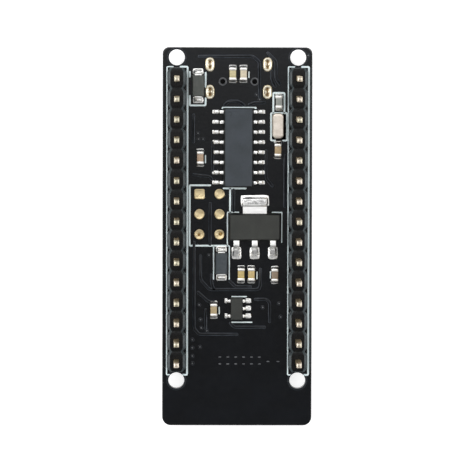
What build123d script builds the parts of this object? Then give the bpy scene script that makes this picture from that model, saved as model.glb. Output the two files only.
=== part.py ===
from build123d import *
from math import atan2, cos, degrees, radians, sin
import os

os.makedirs("parts", exist_ok=True)

# A wireless microcontroller board, in millimetres.
# Z = 0 is the board face that carries the header strips, and +Z is the way the pins point.
# +Y is the USB end, and X = Y = 0 is the centre of the four corner holes.

# Circuit board
board_thickness = 1.6
corner_hole_spacing_x = 15.24
corner_hole_spacing_y = 40.64
corner_hole_diameter = 2.0
side_margin = 1.78
usb_end_margin = 1.28
antenna_end_margin = 5.68
usb_corner_radius = 0.8
antenna_corner_radius = 1.1
plating_thickness = 0.05

# Small holes and pads are drawn with this many flats, and blocks that cut reach past a face by this much
small_round_sides = 12
cut_margin = 1.0

# Pin headers, one row above each column of corner holes
pin_pitch = 2.54
pins_per_row = 15
row_spacing = corner_hole_spacing_x
pin_thickness = 0.64
pin_exposed = 6.0
pin_tip_length = 0.16
pin_tip_inset = 0.16
tail_length = 1.4
strip_height = 2.5
strip_width = 2.4
notch_depth = 0.26
notch_slope = 0.42
strip_bevel_width = 0.4
strip_bevel_height = 0.26

# Solder cones round the header tails
cone_foot_radius = 0.85
cone_neck_radius = 0.5
cone_height = 0.9
cone_sides = 6

# USB serial chip, with eight leads on each long side
serial_chip_x = 0.15
serial_chip_y = 9.06
serial_body_width = 3.9
serial_body_length = 9.9
serial_lead_pitch = 1.27
serial_leads_per_side = 8
serial_span = 6.0
serial_side_draft = 0.26
serial_end_draft = 0.12
serial_parting_share = 0.45
serial_dot_inset = 0.75
serial_dot_radius = 0.3
dot_depth = 0.06

# Main voltage regulator, with a wide tab and three leads
regulator_x = 2.2
regulator_y = -0.94
regulator_body_width = 6.5
regulator_body_length = 3.5
regulator_tab_width = 3.0
regulator_lead_width = 0.72
regulator_lead_pitch = 2.3
regulator_span = 7.0
regulator_side_draft = 0.16
regulator_end_draft = 0.22
regulator_lead_thickness = 0.26
regulator_shoulder = 0.62
regulator_tab_shoulder = 0.82
regulator_foot = 0.78

# Small low-noise regulator, with three leads on one side and two on the other
small_regulator_x = -0.06
small_regulator_y = -11.22
small_regulator_width = 1.6
small_regulator_length = 2.9
small_regulator_pitch = 0.95
small_regulator_span = 2.85
small_lead_thickness = 0.14
small_lead_width = 0.4
small_shoulder = 0.16
small_foot = 0.3
small_draft = 0.1

# Moulded packages with formed leads
package_standoff = 0.1
package_height = 1.5
small_package_height = 1.15
lead_thickness = 0.2
lead_width = 0.41
lead_shoulder = 0.3
lead_foot = 0.5
lead_bend = 0.07
lead_entry = 0.15
parting_share = 0.5

# Diodes
supply_diode_x = -4.95
supply_diode_y = 16.77
power_diode_x = -1.98
power_diode_y = -5.55
diode_width = 1.5
diode_length = 2.7
diode_height = 1.05
diode_lead_width = 0.9
diode_shoulder = 0.14
diode_foot = 0.28
diode_span = 3.8

# Chip parts, each as length, width and height
chip_length = 1.6
chip_width = 0.8
chip_height = 0.75
chip_terminal_length = 0.36
chip_end_plating = 0.035
resistor_height = 0.42
small_chip_length = 1.0
small_chip_width = 0.5
small_chip_height = 0.45
small_chip_terminal_length = 0.25

# Chip parts on the pin side
usb_capacitor_y = 18.27
usb_capacitor_left_x = -0.6
usb_capacitor_right_x = 0.75
serial_resistor_x = 5.22
serial_resistor_y = 14.75
crystal_capacitor_x = 5.1
crystal_capacitor_y = 8.72
reset_capacitor_x = -4.67
reset_capacitor_y = 7.74
input_capacitor_y = -6.93
input_capacitor_left_x = 0.5
input_capacitor_right_x = 1.79
output_capacitor_x = 4.75
output_capacitor_y = -7.0
radio_supply_capacitor_x = -2.94
radio_supply_capacitor_y = -11.4

# Chip parts on the component side, each as X, Y and the turn of its long axis
component_capacitor_places = [
    (4.4, 4.9, 0),
    (4.9, -2.9, 0),
    (-4.4, -4.3, 0),
    (4.2, -8.4, 90),
    (4.2, -10.6, 90),
]
component_resistor_places = [(5.5, 3.0, 0), (-0.6, 4.8, 0), (-2.6, -6.2, 90), (2.4, -6.2, 90)]
matching_places = [(0.6, -14.2, 0), (0.6, -15.9, 0), (-1.1, -14.2, 0), (2.3, -15.0, 0), (4.2, -12.6, 90)]

# Crystals
serial_crystal_x = 5.1
serial_crystal_y = 11.75
serial_crystal_width = 1.45
crystal_length = 3.2
crystal_base_height = 0.3
crystal_lid_height = 0.45
crystal_lid_inset = 0.12
crystal_corner = 0.35
radio_crystal_x = -4.3
radio_crystal_y = -10.4
radio_crystal_width = 2.5

# Programming pads, in two columns of three
programming_x = -3.5
programming_y = 0.62
programming_pad_size = 1.34
programming_hole_diameter = 0.9

# USB receptacle on the component side
usb_x = 0.15
usb_mouth_setback = 0.25
usb_depth = 6.0
usb_width = 7.49
usb_height = 2.5
usb_shell_thickness = 0.25
usb_corner_chamfer = 0.75
usb_top_radius = 0.5
usb_flare = 0.3
usb_flare_depth = 0.65
usb_flare_width = 5.0
usb_flare_margin = 0.15
usb_latch_width = 0.7
usb_latch_length = 1.5
usb_latch_spacing = 3.4
usb_latch_gap = 1.2
usb_leg_width = 0.9
usb_front_leg_gap = 0.8
usb_rear_leg_gap = 0.2
usb_leg_recess = 0.2
usb_slot_clearance = 0.13
usb_ring_width = 0.3
usb_peg_spacing = 4.0
usb_peg_gap = 1.95
usb_peg_diameter = 0.55
usb_peg_clearance = 0.05
usb_peg_length = 1.1
usb_block_depth = 2.5
usb_tongue_width = 3.7
usb_tongue_thickness = 0.6
usb_tongue_setback = 1.3
usb_contact_pitch = 0.65
usb_contact_width = 0.3
usb_contact_thickness = 0.15
usb_contact_count = 5
usb_contact_foot = 0.6
usb_contact_rise = 0.6
usb_contact_setback = 0.3
usb_tongue_drop = 0.1

# Microcontroller and radio chip, square packages with terminals under their edges
controller_x = 2.15
controller_y = 0.62
controller_size = 5.0
controller_terminals_per_side = 8
controller_pitch = 0.5
controller_turn = 45.0
radio_x = 0.6
radio_y = -10.6
radio_size = 4.0
radio_terminals_per_side = 5
radio_pitch = 0.5
flat_package_height = 0.85
flat_terminal_length = 0.4
flat_terminal_width = 0.25
flat_terminal_thickness = 0.12
flat_dot_inset = 0.7
flat_dot_radius = 0.22
flat_pad_share = 0.62

# Resonator of the microcontroller
resonator_x = -4.5
resonator_y = 6.2
resonator_length = 3.2
resonator_width = 1.3
resonator_height = 0.8
resonator_terminal_width = 0.4
resonator_end_margin = 0.15

# Reset button
button_x = 0.0
button_y = 7.6
button_length = 4.2
button_width = 2.8
button_housing_height = 1.15
button_cover_thickness = 0.15
button_cover_skirt = 0.45
button_cavity_radius = 1.1
button_cavity_floor = 0.3
button_stem_radius = 0.8
button_stem_height = 0.5
button_flange_radius = 1.0
button_flange_thickness = 0.3
button_clearance = 0.05
button_dome_thickness = 0.08
button_stem_edge = 0.1
button_terminal_width = 0.7
button_terminal_reach = 0.35
button_terminal_thickness = 0.15

# Indicator lights and their resistors, in one row each across the board
indicator_count = 4
indicator_pitch = 2.6
indicator_y = 13.2
indicator_resistor_y = 11.1
light_base_height = 0.2
light_lens_height = 0.4
light_lens_length = 1.0
light_lens_draft = 0.05

# Antenna trace at the bare end
antenna_trace_width = 0.6
antenna_trace_thickness = 0.05
antenna_edge_gap = 0.5
antenna_rows = 4
antenna_row_gap = 0.9
antenna_length = 11.0
antenna_feed_x = -5.2

# Worked out from the sizes above
board_width = corner_hole_spacing_x + 2 * side_margin
usb_edge_y = corner_hole_spacing_y / 2 + usb_end_margin
antenna_edge_y = -corner_hole_spacing_y / 2 - antenna_end_margin
board_middle_y = (usb_edge_y + antenna_edge_y) / 2
board_length = usb_edge_y - antenna_edge_y
usb_mouth_y = usb_edge_y - usb_mouth_setback
usb_rear_y = usb_mouth_y - usb_depth
usb_leg_x = (usb_width - usb_shell_thickness) / 2
usb_slot_width = usb_shell_thickness + 2 * usb_slot_clearance
usb_slot_length = usb_leg_width + 2 * usb_slot_clearance
usb_front_leg_y = usb_mouth_y - usb_flare_depth - usb_front_leg_gap - usb_leg_width / 2
usb_rear_leg_y = usb_rear_y + usb_rear_leg_gap + usb_leg_width / 2
usb_peg_y = usb_rear_y + usb_peg_gap
usb_peg_hole_diameter = usb_peg_diameter + 2 * usb_peg_clearance
button_top = button_housing_height + button_cover_thickness


def save(name, *shapes):
    """Writes one sub-part, each of its pieces a solid of its own."""
    solids = [solid for shape in shapes for solid in shape.solids()]
    export_step(solids[0] if len(solids) == 1 else Compound(solids), f"parts/{name}.step")


def block(x_span, y_span, z_span):
    """A block between two values of X, of Y and of Z."""
    spans = (x_span, y_span, z_span)
    middle = [(low + high) / 2 for low, high in spans]
    return Pos(*middle) * Box(*[high - low for low, high in spans])


def tapered_block(low_size, high_size, z_low, z_high):
    """A block whose lower and upper faces are centred rectangles of their own sizes."""
    return two_way_block([(low_size, z_low), (high_size, z_high)])


def two_way_block(levels):
    """The solid that has the given centred rectangle at each height, with flat sides between them."""
    outlines = []
    for axis in (0, 1):
        right = [(size[axis] / 2, z) for size, z in levels]
        left = [(-half, z) for half, z in reversed(right)]
        outlines.append(make_face(Polyline(*right, *left, close=True)))
    reach = max(side for size, z in levels for side in size)
    return along_y(outlines[0], -reach, reach) & along_x(outlines[1], -reach, reach)


def along_x(face, x_low, x_high):
    """Stretches a face drawn in Y and Z between two values of X."""
    return Pos(x_low, 0, 0) * extrude(Plane.YZ * face, amount=x_high - x_low)


def along_y(face, y_low, y_high):
    """Stretches a face drawn in X and Z between two values of Y."""
    return Pos(0, y_high, 0) * extrude(Plane.XZ * face, amount=y_high - y_low)


def outward(x, y, angle):
    """A frame on a board face whose X points along the angle and whose Y points up."""
    turn = radians(angle)
    along = (cos(turn), sin(turn), 0)
    across = (sin(turn), -cos(turn), 0)
    return Location(Plane(origin=(x, y, 0), x_dir=along, z_dir=across))


def component_side(x, y, angle=0.0):
    """A frame on the component face, whose Z points away from the board."""
    return Pos(x, y, -board_thickness) * Rot(0, 180, 0) * Rot(0, 0, angle)


def row_positions(count, pitch):
    """The places of a row of equal steps, about its middle."""
    return [(index - (count - 1) / 2) * pitch for index in range(count)]


def small_round(diameter):
    """The outline of a small hole, peg or pad."""
    return RegularPolygon(diameter / 2, small_round_sides)


def small_slot(length, width):
    """The outline of a slot along Y with round ends."""
    reach = (length - width) / 2
    ends = [Pos(0, side * reach) * small_round(width) for side in (-1, 1)]
    return Rectangle(width, 2 * reach) + ends


# Board

def programming_places():
    """The six programming pads, the square one first."""
    return [
        (programming_x + column * pin_pitch / 2, programming_y + row * pin_pitch)
        for row in (1, 0, -1)
        for column in (-1, 1)
    ]


def usb_slot_places():
    rows = (usb_front_leg_y, usb_rear_leg_y)
    return [(usb_x + side * usb_leg_x, y) for y in rows for side in (-1, 1)]


def usb_peg_places():
    return [(usb_x + side * usb_peg_spacing / 2, usb_peg_y) for side in (-1, 1)]


def header_places(side):
    """The pins of one row, from the USB end to the antenna end."""
    return [(side * row_spacing / 2, -y) for y in row_positions(pins_per_row, pin_pitch)]


def make_board():
    outline = Pos(0, board_middle_y) * Rectangle(board_width, board_length)
    corners = outline.vertices().sort_by(Axis.Y)
    outline = fillet(corners[:2], antenna_corner_radius)
    outline = fillet(outline.vertices().sort_by(Axis.Y)[-2:], usb_corner_radius)
    holes = [
        Pos(x * corner_hole_spacing_x / 2, y * corner_hole_spacing_y / 2) * Circle(corner_hole_diameter / 2)
        for x in (-1, 1)
        for y in (-1, 1)
    ]
    pin_hole = Rectangle(pin_thickness, pin_thickness)
    holes += [Pos(*place) * pin_hole for side in (-1, 1) for place in header_places(side)]
    holes += [Pos(*place) * small_round(programming_hole_diameter) for place in programming_places()]
    holes += [Pos(*place) * small_round(usb_peg_hole_diameter) for place in usb_peg_places()]
    holes += [Pos(*place) * small_slot(usb_slot_length, usb_slot_width) for place in usb_slot_places()]
    return extrude(outline - holes, amount=-board_thickness)


def make_slot_plating():
    """The plated ring round a slot, on the pin side."""
    ring = small_slot(usb_slot_length + 2 * usb_ring_width, usb_slot_width + 2 * usb_ring_width)
    return extrude(ring - small_slot(usb_slot_length, usb_slot_width), amount=plating_thickness)


def make_programming_pad(square):
    """A plated hole filled to its brim, with a flat pad on both faces."""
    size = programming_pad_size
    pad = Rectangle(size, size) if square else small_round(size)
    plug = extrude(small_round(programming_hole_diameter), amount=-board_thickness)
    top = extrude(pad, amount=plating_thickness)
    bottom = Pos(0, 0, -board_thickness - plating_thickness) * extrude(pad, amount=plating_thickness)
    return plug + top + bottom


# Headers

def make_header_strip(side):
    """Moulded cells joined end to end, notched on both sides between each two and bevelled along the top."""
    half = strip_width / 2
    right = []
    for y in row_positions(pins_per_row, pin_pitch):
        right += [
            (half - notch_depth, y - pin_pitch / 2),
            (half, y - pin_pitch / 2 + notch_slope),
            (half, y + pin_pitch / 2 - notch_slope),
        ]
    right.append((half - notch_depth, pins_per_row * pin_pitch / 2))
    left = [(-x, y) for x, y in reversed(right)]
    outline = make_face(Polyline(*right, *left, close=True))
    pin_hole = Rectangle(pin_thickness, pin_thickness)
    holes = [Pos(0, y) * pin_hole for y in row_positions(pins_per_row, pin_pitch)]
    strip = extrude(outline - holes, amount=strip_height)
    top_half = half - strip_bevel_width
    wide = half + cut_margin
    wide_height = strip_height - strip_bevel_height * (wide - top_half) / strip_bevel_width
    section = make_face(
        Polyline(
            (-wide, 0),
            (wide, 0),
            (wide, wide_height),
            (top_half, strip_height),
            (-top_half, strip_height),
            (-wide, wide_height),
            close=True,
        )
    )
    length = pins_per_row * pin_pitch
    return Pos(side * row_spacing / 2, 0, 0) * (strip & along_y(section, -length, length))


def make_pin():
    """A square pin with a taper at each end."""
    full = (pin_thickness, pin_thickness)
    tip = (pin_thickness - 2 * pin_tip_inset, pin_thickness - 2 * pin_tip_inset)
    top = strip_height + pin_exposed
    bottom = -board_thickness - tail_length
    return two_way_block(
        [(tip, bottom), (full, bottom + pin_tip_length), (full, top - pin_tip_length), (tip, top)]
    )


def make_solder_cone():
    """The solder round one tail, in a frame whose Z points away from the component face."""
    slope = degrees(atan2(cone_foot_radius - cone_neck_radius, cone_height))
    foot = RegularPolygon(cone_foot_radius, cone_sides, major_radius=False)
    cone = extrude(foot, amount=cone_height, taper=slope)
    return cone - Box(pin_thickness, pin_thickness, 3 * cone_height)


# Leads and moulded bodies

def bent_line(points, bend):
    """A line through the points that takes each corner in one short cut."""
    path = [Vector(*point) for point in points]
    bent = [path[0]]
    for before, corner, after in zip(path, path[1:], path[2:]):
        bent.append(corner + (before - corner).normalized() * bend)
        bent.append(corner + (after - corner).normalized() * bend)
    return Polyline(*bent, path[-1])


def make_lead(reach, exit_height, shoulder, foot, thickness, width):
    """A formed lead, from inside the body, whose edge is at local X = 0, to the toe at local X = reach."""
    knee = (shoulder, exit_height)
    heel = (reach - foot, thickness / 2)
    line = bent_line([(-lead_entry, exit_height), knee, heel, (reach, thickness / 2)], lead_bend)
    return extrude(trace(line, thickness), amount=width / 2, both=True)


def moulded_body(width, length, height, side_draft, end_draft, parting):
    """A moulded package: it is widest at the parting line where the leads come out."""
    top_size = (width - 2 * side_draft, length - 2 * end_draft)
    low_size = (width - side_draft, length - end_draft)
    top = package_standoff + height
    return two_way_block([(low_size, package_standoff), ((width, length), parting), (top_size, top)])


serial_parting = package_standoff + serial_parting_share * package_height
serial_lead_reach = (serial_span - serial_body_width) / 2


def make_serial_chip():
    place = Pos(serial_chip_x, serial_chip_y, 0)
    body = moulded_body(
        serial_body_width,
        serial_body_length,
        package_height,
        serial_side_draft,
        serial_end_draft,
        serial_parting,
    )
    dot_x = -serial_body_width / 2 + serial_dot_inset
    dot_y = serial_body_length / 2 - serial_dot_inset
    dot = extrude(small_round(2 * serial_dot_radius), amount=dot_depth, both=True)
    body -= Pos(dot_x, dot_y, package_standoff + package_height) * dot
    form = (serial_lead_reach, serial_parting, lead_shoulder, lead_foot, lead_thickness)
    lead = make_lead(*form, lead_width)
    leads = []
    for y in row_positions(serial_leads_per_side, serial_lead_pitch):
        for angle, side in ((0, 1), (180, -1)):
            x = serial_chip_x + side * serial_body_width / 2
            leads.append(outward(x, serial_chip_y + y, angle) * lead)
    return place * body - leads, leads


regulator_parting = package_standoff + parting_share * package_height
regulator_lead_reach = (regulator_span - regulator_body_length) / 2


def make_regulator():
    body = moulded_body(
        regulator_body_width,
        regulator_body_length,
        package_height,
        regulator_side_draft,
        regulator_end_draft,
        regulator_parting,
    )
    body = Pos(regulator_x, regulator_y, 0) * body
    edge = regulator_body_length / 2
    tab, lead = [
        make_lead(
            regulator_lead_reach,
            regulator_parting,
            shoulder,
            regulator_foot,
            regulator_lead_thickness,
            width,
        )
        for shoulder, width in (
            (regulator_tab_shoulder, regulator_tab_width),
            (regulator_shoulder, regulator_lead_width),
        )
    ]
    tab = outward(regulator_x, regulator_y + edge, 90) * tab
    steps = row_positions(3, regulator_lead_pitch)
    leads = [outward(regulator_x + x, regulator_y - edge, -90) * lead for x in steps]
    return body - [tab, *leads], tab, leads


small_regulator_parting = package_standoff + parting_share * small_package_height
small_regulator_reach = (small_regulator_span - small_regulator_width) / 2


def make_small_regulator():
    body = moulded_body(
        small_regulator_width,
        small_regulator_length,
        small_package_height,
        small_draft,
        small_draft,
        small_regulator_parting,
    )
    body = Pos(small_regulator_x, small_regulator_y, 0) * body
    lead = make_lead(
        small_regulator_reach,
        small_regulator_parting,
        small_shoulder,
        small_foot,
        small_lead_thickness,
        small_lead_width,
    )
    edge = small_regulator_width / 2
    steps = row_positions(3, small_regulator_pitch)
    leads = [outward(small_regulator_x + edge, small_regulator_y + y, 0) * lead for y in steps]
    leads += [outward(small_regulator_x - edge, small_regulator_y + y, 180) * lead for y in steps[::2]]
    return body - leads, leads


def make_diode(x, y):
    """A moulded diode with a flat formed lead at each end, along Y."""
    parting = package_standoff + parting_share * diode_height
    body = moulded_body(diode_width, diode_length, diode_height, small_draft, small_draft, parting)
    body = Pos(x, y, 0) * body
    reach = (diode_span - diode_length) / 2
    lead = make_lead(reach, parting, diode_shoulder, diode_foot, small_lead_thickness, diode_lead_width)
    leads = [outward(x, y + side * diode_length / 2, side * 90) * lead for side in (1, -1)]
    return body - leads, leads


# Chip parts, drawn along Y on a face at Z = 0

def make_chip(length, width, height, terminal_length):
    """The body and the two plated ends of a chip part."""
    lift = chip_end_plating + height / 2
    core = Pos(0, 0, lift) * Box(width, length - 2 * terminal_length, height)
    end = Box(width + 2 * chip_end_plating, terminal_length, height + 2 * chip_end_plating)
    offset_y = (length - terminal_length) / 2
    return core, [Pos(0, side * offset_y, lift) * end for side in (-1, 1)]


def make_light():
    """The base, lens and end caps of one indicator light."""
    base = block(
        (-chip_width / 2, chip_width / 2),
        (-chip_length / 2 + chip_terminal_length, chip_length / 2 - chip_terminal_length),
        (0, light_base_height),
    )
    top = light_base_height + light_lens_height
    lens = tapered_block(
        (chip_width, light_lens_length),
        (chip_width - 2 * light_lens_draft, light_lens_length - 2 * light_lens_draft),
        light_base_height,
        top,
    )
    ends = [
        block(
            (-chip_width / 2, chip_width / 2),
            sorted((side * chip_length / 2, side * (chip_length / 2 - chip_terminal_length))),
            (0, light_base_height),
        )
        for side in (-1, 1)
    ]
    return base, lens, ends


# Crystals

def make_crystal(width):
    """A ceramic base and the metal lid on it, along Y."""
    outline = chamfer(Rectangle(width, crystal_length).vertices(), crystal_corner)
    base = extrude(outline, amount=crystal_base_height)
    lid_size = (width - 2 * crystal_lid_inset, crystal_length - 2 * crystal_lid_inset)
    lid = extrude(RectangleRounded(*lid_size, crystal_corner), amount=crystal_lid_height)
    return base, Pos(0, 0, crystal_base_height) * lid


def make_resonator():
    """A ceramic block with three metal bands round it, along Y."""
    body = block(
        (-resonator_width / 2, resonator_width / 2),
        (-resonator_length / 2, resonator_length / 2),
        (chip_end_plating, resonator_height),
    )
    bands = []
    band_pitch = (resonator_length - resonator_terminal_width) / 2 - resonator_end_margin
    outer_half = resonator_width / 2 + chip_end_plating
    for y in row_positions(3, band_pitch):
        band = block(
            (-outer_half, outer_half),
            (y - resonator_terminal_width / 2, y + resonator_terminal_width / 2),
            (0, resonator_height + chip_end_plating),
        )
        bands.append(band - body)
    return body, bands


# Square packages with terminals under their edges

def make_flat_package(size, per_side, pitch):
    span = (-size / 2, size / 2)
    body = block(span, span, (flat_terminal_thickness, flat_package_height))
    pad_size = size * flat_pad_share
    pad_span = (-pad_size / 2, pad_size / 2)
    terminals = [block(pad_span, pad_span, (0, flat_terminal_thickness))]
    terminal = block(
        (size / 2 - flat_terminal_length, size / 2),
        (-flat_terminal_width / 2, flat_terminal_width / 2),
        (0, flat_terminal_thickness),
    )
    for angle in (0, 90, 180, 270):
        terminals += [Rot(0, 0, angle) * Pos(0, y, 0) * terminal for y in row_positions(per_side, pitch)]
    corner = size / 2 - flat_dot_inset
    dot = extrude(small_round(2 * flat_dot_radius), amount=dot_depth, both=True)
    return body - Pos(-corner, corner, flat_package_height) * dot, terminals


# USB receptacle, in a frame on the component face whose Z points away from the board

def usb_section():
    """The shell's outer section in X and Z: chamfered at the board, rounded away from it."""
    half = usb_width / 2
    section = make_face(
        Polyline(
            (-half + usb_corner_chamfer, 0),
            (half - usb_corner_chamfer, 0),
            (half, usb_corner_chamfer),
            (half, usb_height),
            (-half, usb_height),
            (-half, usb_corner_chamfer),
            close=True,
        )
    )
    return fillet(section.vertices().sort_by(Axis.Y)[-2:], usb_top_radius)


def make_usb_shell():
    outer = usb_section()
    inner = offset(outer, amount=-usb_shell_thickness, kind=Kind.INTERSECTION)
    shell = along_y(outer - inner, usb_rear_y, usb_mouth_y)
    half = usb_width / 2
    leg_bottom = -board_thickness + usb_leg_recess
    for side in (-1, 1):
        x_span = sorted((side * half, side * (half - usb_shell_thickness)))
        for y in (usb_front_leg_y, usb_rear_leg_y):
            y_span = (y - usb_leg_width / 2, y + usb_leg_width / 2)
            shell += block(x_span, y_span, (leg_bottom, usb_height / 2))
    flare_start = usb_mouth_y - usb_flare_depth
    top_flare = make_face(
        Polyline(
            (flare_start, usb_height - usb_shell_thickness),
            (flare_start, usb_height),
            (usb_mouth_y, usb_height + usb_flare),
            (usb_mouth_y, usb_height + usb_flare - usb_shell_thickness),
            close=True,
        )
    )
    mouth_cut = block(
        (-half, half),
        (flare_start, usb_mouth_y + cut_margin),
        (usb_shell_thickness, usb_height + cut_margin),
    )
    shell = shell - mouth_cut + along_x(top_flare, -usb_flare_width / 2, usb_flare_width / 2)
    for side in (-1, 1):
        side_flare = make_face(
            Polyline(
                (side * (half - usb_shell_thickness), flare_start),
                (side * half, flare_start),
                (side * (half + usb_flare), usb_mouth_y),
                (side * (half + usb_flare - usb_shell_thickness), usb_mouth_y),
                close=True,
            )
        )
        low = usb_corner_chamfer + usb_flare_margin
        shell += Pos(0, 0, low) * extrude(side_flare, amount=usb_height - usb_top_radius - low)
    peg_hole = extrude(small_round(usb_peg_hole_diameter), amount=2 * usb_shell_thickness, both=True)
    latch_window = Box(usb_latch_width, usb_latch_length, 2 * usb_shell_thickness)
    latch_y = flare_start - usb_latch_gap - usb_latch_length / 2
    for side in (-1, 1):
        shell -= Pos(side * usb_peg_spacing / 2, usb_peg_y, 0) * peg_hole
        shell -= Pos(side * usb_latch_spacing / 2, latch_y, usb_height) * latch_window
    return shell


usb_tongue_low = usb_height / 2 - usb_tongue_drop


def make_usb_contacts():
    """Flat strips under the tongue that come out behind the shell as feet on the board."""
    centre_height = usb_tongue_low - usb_contact_thickness / 2
    heel = usb_rear_y - usb_contact_rise / 2
    line = bent_line(
        [
            (heel - usb_contact_foot, usb_contact_thickness / 2),
            (heel, usb_contact_thickness / 2),
            (heel + usb_contact_rise, centre_height),
            (usb_mouth_y - usb_tongue_setback - usb_contact_setback, centre_height),
        ],
        lead_bend,
    )
    strip = trace(line, usb_contact_thickness)
    half = usb_contact_width / 2
    return [along_x(strip, x - half, x + half) for x in row_positions(usb_contact_count, usb_contact_pitch)]


def make_usb_insulator(contacts):
    inner = offset(usb_section(), amount=-usb_shell_thickness, kind=Kind.INTERSECTION)
    insulator = along_y(inner, usb_rear_y, usb_rear_y + usb_block_depth)
    insulator += block(
        (-usb_tongue_width / 2, usb_tongue_width / 2),
        (usb_rear_y, usb_mouth_y - usb_tongue_setback),
        (usb_tongue_low, usb_tongue_low + usb_tongue_thickness),
    )
    for side in (-1, 1):
        peg = extrude(small_round(usb_peg_diameter), amount=usb_peg_length + usb_shell_thickness)
        insulator += Pos(side * usb_peg_spacing / 2, usb_peg_y, -usb_peg_length) * peg
    return insulator - contacts


# Reset button, in a frame on the component face whose Z points away from the board

def make_button_housing():
    housing = block(
        (-button_length / 2, button_length / 2),
        (-button_width / 2, button_width / 2),
        (0, button_housing_height),
    )
    cavity = extrude(Circle(button_cavity_radius), amount=button_housing_height)
    return housing - Pos(0, 0, button_cavity_floor) * cavity


def make_button_cover():
    """A steel plate over the housing, with a hole for the stem and a skirt down two sides."""
    plate = block(
        (-button_length / 2, button_length / 2),
        (-button_width / 2 - button_cover_thickness, button_width / 2 + button_cover_thickness),
        (button_housing_height, button_top),
    )
    for side in (-1, 1):
        y_span = sorted((side * button_width / 2, side * (button_width / 2 + button_cover_thickness)))
        skirt_half = button_length / 2 - button_terminal_width
        z_span = (button_housing_height - button_cover_skirt, button_housing_height)
        plate += block((-skirt_half, skirt_half), y_span, z_span)
    hole = Cylinder(button_stem_radius + button_clearance, 4 * button_cover_thickness)
    return plate - Pos(0, 0, button_top) * hole


def make_button_plunger():
    """A round stem with a flange that the cover holds in."""
    flange_top = button_housing_height - button_clearance
    flange = Pos(0, 0, flange_top - button_flange_thickness / 2) * Cylinder(
        button_flange_radius, button_flange_thickness
    )
    stem_top = button_top + button_stem_height
    stem = Pos(0, 0, (stem_top + flange_top) / 2) * Cylinder(button_stem_radius, stem_top - flange_top)
    plunger = flange + stem
    return chamfer(plunger.edges().group_by(Axis.Z)[-1], button_stem_edge)


def make_button_dome():
    """The dished snap disc under the plunger, its rim on the cavity's floor."""
    rim = button_cavity_radius - button_clearance
    crown = button_housing_height - button_clearance - button_flange_thickness
    profile = make_face(
        Polyline(
            (0, crown - button_dome_thickness),
            (rim - button_dome_thickness, button_cavity_floor),
            (rim, button_cavity_floor),
            (0, crown),
            close=True,
        )
    )
    return revolve(Plane.XZ * profile, Axis.Z)


def make_button_terminals():
    terminals = []
    for x_side in (-1, 1):
        for y in row_positions(2, button_width - button_terminal_width):
            edge = button_length / 2
            x_span = sorted((x_side * edge, x_side * (edge + button_terminal_reach)))
            y_span = (y - button_terminal_width / 2, y + button_terminal_width / 2)
            terminals.append(block(x_span, y_span, (0, button_terminal_thickness)))
    return terminals


# Antenna

def make_antenna():
    """A folded copper trace across the bare end, fed from one side."""
    low = antenna_edge_y + antenna_edge_gap + antenna_trace_width / 2
    step = antenna_trace_width + antenna_row_gap
    points = [(antenna_feed_x, low + antenna_rows * step)]
    for row in range(antenna_rows):
        y = low + (antenna_rows - 1 - row) * step
        ends = (antenna_feed_x, antenna_feed_x + antenna_length)
        points += [(x, y) for x in (ends if row % 2 == 0 else ends[::-1])]
    return extrude(trace(Polyline(*points), antenna_trace_width), amount=antenna_trace_thickness)


# Every sub-part in its place

chip_capacitors = {
    "usb_capacitor_left": (usb_capacitor_left_x, usb_capacitor_y),
    "usb_capacitor_right": (usb_capacitor_right_x, usb_capacitor_y),
    "crystal_capacitor": (crystal_capacitor_x, crystal_capacitor_y),
    "reset_capacitor": (reset_capacitor_x, reset_capacitor_y),
    "input_capacitor_left": (input_capacitor_left_x, input_capacitor_y),
    "input_capacitor_right": (input_capacitor_right_x, input_capacitor_y),
    "output_capacitor": (output_capacitor_x, output_capacitor_y),
    "radio_supply_capacitor": (radio_supply_capacitor_x, radio_supply_capacitor_y),
}


def make_pin_side():
    save("circuit_board", make_board())
    ring = make_slot_plating()
    save("usb_slot_plating", *[Pos(*place, 0) * ring for place in usb_slot_places()])
    pads = [make_programming_pad(square=True)] + [make_programming_pad(square=False)] * 5
    save("programming_pads", *[Pos(*place, 0) * pad for place, pad in zip(programming_places(), pads)])
    pin = make_pin()
    cone = make_solder_cone()
    for side, hand in ((-1, "left"), (1, "right")):
        save(f"header_strip_{hand}", make_header_strip(side))
        save(f"header_pins_{hand}", *[Pos(*place, 0) * pin for place in header_places(side)])
        save(f"header_solder_{hand}", *[component_side(*place) * cone for place in header_places(side)])
    body, leads = make_serial_chip()
    save("serial_chip_body", body)
    save("serial_chip_leads", *leads)
    body, tab, leads = make_regulator()
    save("regulator_body", body)
    save("regulator_tab", tab)
    save("regulator_leads", *leads)
    body, leads = make_small_regulator()
    save("small_regulator_body", body)
    save("small_regulator_leads", *leads)
    for name, x, y in (
        ("supply_diode", supply_diode_x, supply_diode_y),
        ("power_diode", power_diode_x, power_diode_y),
    ):
        body, leads = make_diode(x, y)
        save(f"{name}_body", body)
        save(f"{name}_terminals", *leads)
    core, ends = make_chip(chip_length, chip_width, chip_height, chip_terminal_length)
    for name, (x, y) in chip_capacitors.items():
        save(name, Pos(x, y, 0) * core)
    places = chip_capacitors.values()
    save("capacitor_terminals", *[Pos(x, y, 0) * end for x, y in places for end in ends])
    core, ends = make_chip(chip_length, chip_width, resistor_height, chip_terminal_length)
    place = Pos(serial_resistor_x, serial_resistor_y, 0)
    save("serial_resistor_body", place * core)
    save("serial_resistor_terminals", *[place * end for end in ends])
    base, lid = make_crystal(serial_crystal_width)
    place = Pos(serial_crystal_x, serial_crystal_y, 0)
    save("serial_crystal_base", place * base)
    save("serial_crystal_lid", place * lid)


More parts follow.
